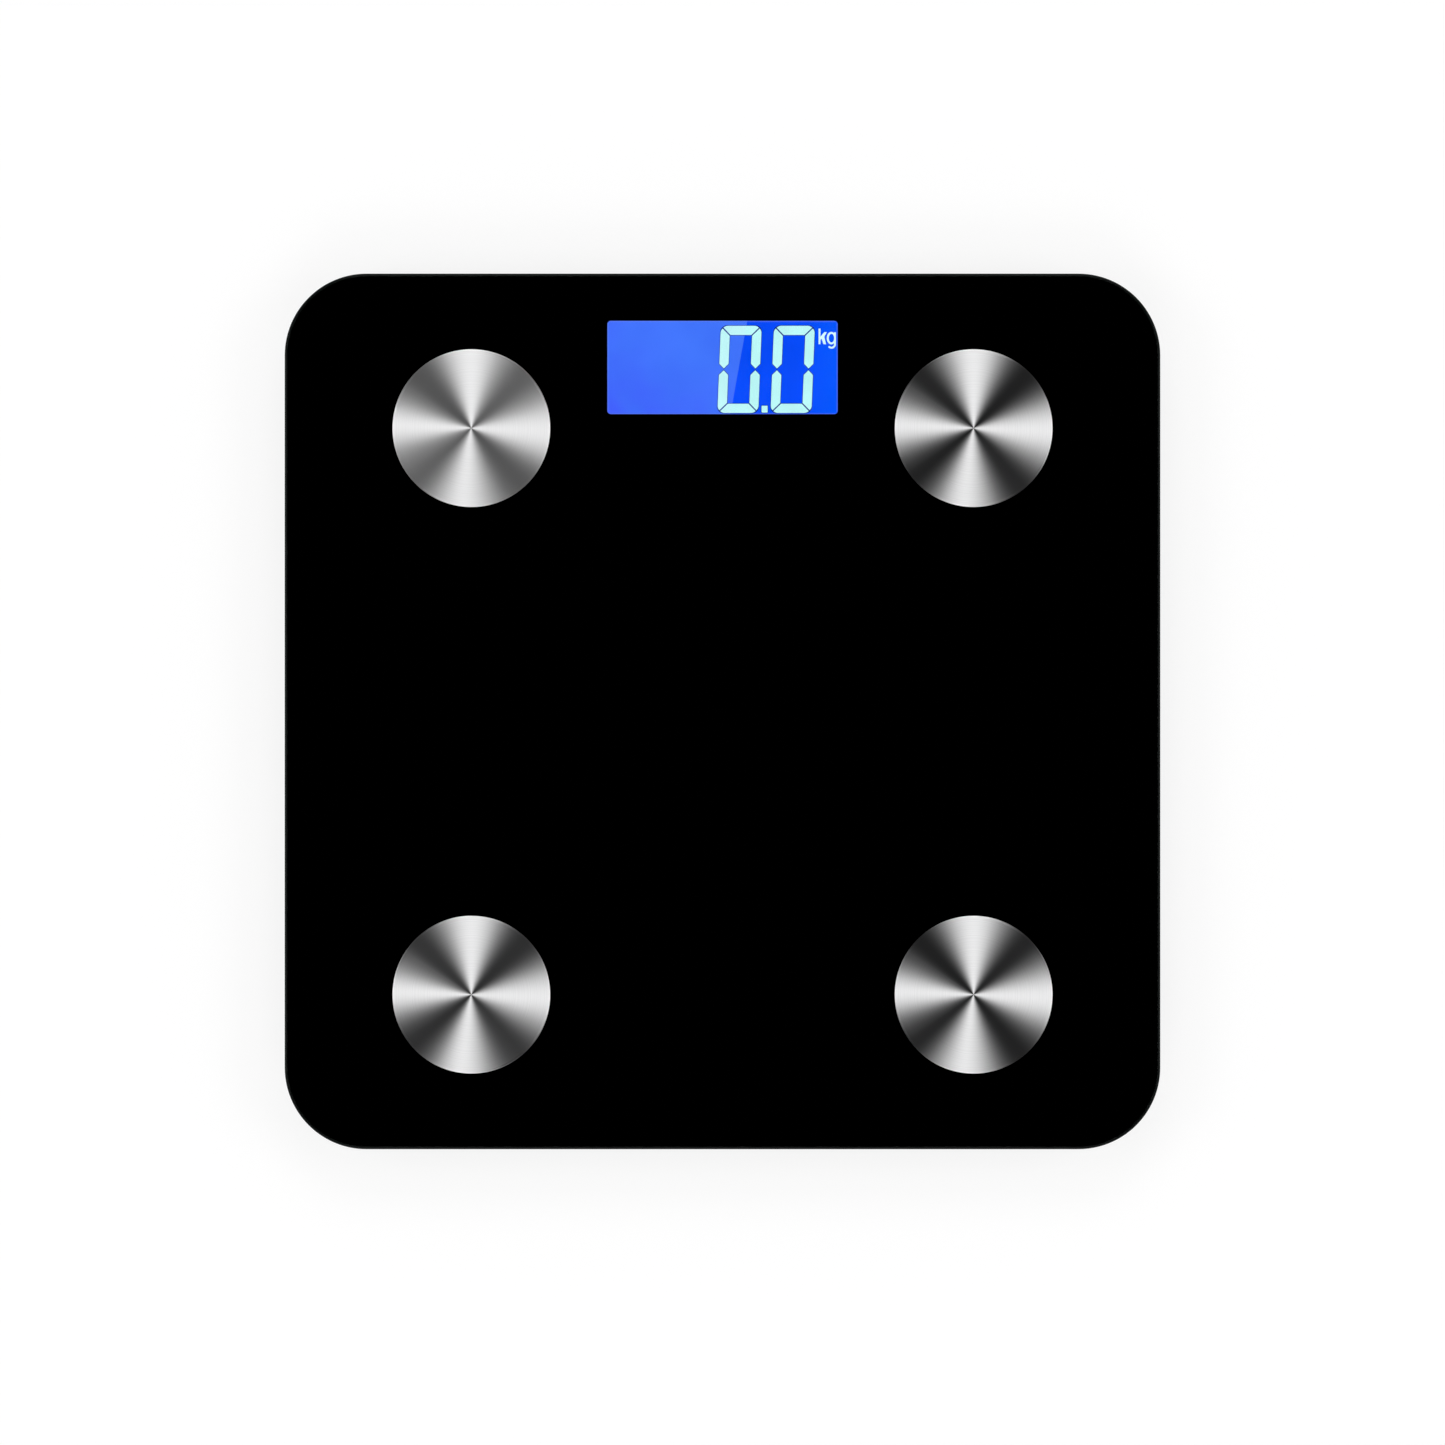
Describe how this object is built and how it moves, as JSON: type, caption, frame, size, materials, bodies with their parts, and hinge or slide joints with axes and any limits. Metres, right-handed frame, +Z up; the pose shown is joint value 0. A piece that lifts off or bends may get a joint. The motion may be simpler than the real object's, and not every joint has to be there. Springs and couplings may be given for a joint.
{
  "type": "digital bathroom scale",
  "caption": "Square digital bathroom scale: black glass platform with rounded corners, round steel electrodes, a lit blue display and sprung feet.",
  "frame": {"origin": "on the floor, at the centre of the square that the feet stand on", "axes": "+Z up through the platform, +Y towards the display edge, +X to the right of a person facing the display"},
  "size_m": [0.3, 0.3, 0.0258],
  "materials": {
    "platform_glass": "toughened float glass with a ground, polished edge",
    "print_film": "opaque black screen-print film",
    "electrode_steel": "stainless steel, spun on a lathe in fine rings",
    "contact_metal": "tin-plated spring brass",
    "nickel": "nickel plate",
    "foam_tape": "closed-cell foam tape",
    "display_glass": "clear display glass pair",
    "polariser_film": "blue negative polariser film",
    "diffuser": "frosted light guide",
    "white_plastic": "moulded white plastic",
    "elastomer": "striped conducting rubber",
    "circuit_board": "green solder mask over glass-fibre board",
    "resin": "black sealing resin",
    "component_body": "ceramic chip parts",
    "solder": "bright solder",
    "black_case": "black ABS with a fine spark-eroded texture",
    "battery_sleeve": "printed sleeve over a steel can",
    "cell_steel": "zinc-plated pressed steel",
    "sealant": "white silicone sealant",
    "foot_plastic": "black ABS",
    "foot_rubber": "soft dark grey rubber",
    "lead_red": "red insulation",
    "lead_white": "white insulation",
    "lead_black": "black insulation",
    "lead_yellow": "yellow insulation",
    "button_grey": "grey moulded plastic"
  },
  "bodies": {
    "scale": {"glass_platform": "platform_glass", "back_print": "print_film", "electrode_rear_left": "electrode_steel", "electrode_rear_right": "electrode_steel", "electrode_front_left": "electrode_steel", "electrode_front_right": "electrode_steel", "electrode_terminals": "contact_metal", "electrode_nuts": "nickel", "rim_tape": "foam_tape", "tower_tape": "foam_tape", "display_gasket": "foam_tape", "front_polariser": "polariser_film", "display_cell": "display_glass", "rear_polariser": "polariser_film", "light_guide": "diffuser", "backlight_leds": "white_plastic", "display_frame": "white_plastic", "zebra_strip": "elastomer", "main_board": "circuit_board", "chip_cover": "resin", "radio_module": "circuit_board", "quartz_can": "nickel", "board_capacitors": "component_body", "board_parts": "component_body", "solder_joints": "solder", "switch_housing": "resin", "board_screws": "nickel", "base_tray": "black_case", "battery_contacts": "contact_metal", "battery_springs": "nickel", "battery_1": "battery_sleeve", "battery_2": "battery_sleeve", "battery_3": "battery_sleeve", "battery_4": "battery_sleeve", "load_cell_rear_left": "cell_steel", "load_cell_rear_right": "cell_steel", "load_cell_front_left": "cell_steel", "load_cell_front_right": "cell_steel", "strain_gauges": "sealant", "sensor_leads_red": "lead_red", "sensor_leads_white": "lead_white", "sensor_leads_black": "lead_black", "electrode_leads": "lead_yellow", "battery_lead_red": "lead_red", "battery_lead_black": "lead_black"},
    "foot_rear_left": {"foot_cap_rear_left": "foot_plastic", "foot_pad_rear_left": "foot_rubber"},
    "foot_rear_right": {"foot_cap_rear_right": "foot_plastic", "foot_pad_rear_right": "foot_rubber"},
    "foot_front_left": {"foot_cap_front_left": "foot_plastic", "foot_pad_front_left": "foot_rubber"},
    "foot_front_right": {"foot_cap_front_right": "foot_plastic", "foot_pad_front_right": "foot_rubber"},
    "battery_door": {"battery_door": "black_case", "door_latch": "black_case"},
    "unit_button": {"unit_button": "button_grey", "switch_plunger": "white_plastic"}
  },
  "joints": [
    {"name": "foot_rear_left_press", "type": "slide", "parent": "scale", "child": "foot_rear_left", "axis": [0, 0, 1], "range_m": [0, 0.0004], "stiffness_N_per_m": 2000, "springref_m": -0.003, "deforming": ["load_cell_rear_left"]},
    {"name": "foot_rear_right_press", "type": "slide", "parent": "scale", "child": "foot_rear_right", "axis": [0, 0, 1], "range_m": [0, 0.0004], "stiffness_N_per_m": 2000, "springref_m": -0.003, "deforming": ["load_cell_rear_right"]},
    {"name": "foot_front_left_press", "type": "slide", "parent": "scale", "child": "foot_front_left", "axis": [0, 0, 1], "range_m": [0, 0.0004], "stiffness_N_per_m": 2000, "springref_m": -0.003, "deforming": ["load_cell_front_left"]},
    {"name": "foot_front_right_press", "type": "slide", "parent": "scale", "child": "foot_front_right", "axis": [0, 0, 1], "range_m": [0, 0.0004], "stiffness_N_per_m": 2000, "springref_m": -0.003, "deforming": ["load_cell_front_right"]},
    {"name": "battery_door_hinge", "type": "hinge", "parent": "scale", "child": "battery_door", "pos_m": [0, -0.0002, 0.0054], "axis": [-1, 0, 0], "range_deg": [0, 95], "deforming": ["door_latch"]},
    {"name": "unit_button_press", "type": "slide", "parent": "scale", "child": "unit_button", "axis": [0, 0, 1], "range_m": [0, 0.0004], "stiffness_N_per_m": 2000}
  ]
}
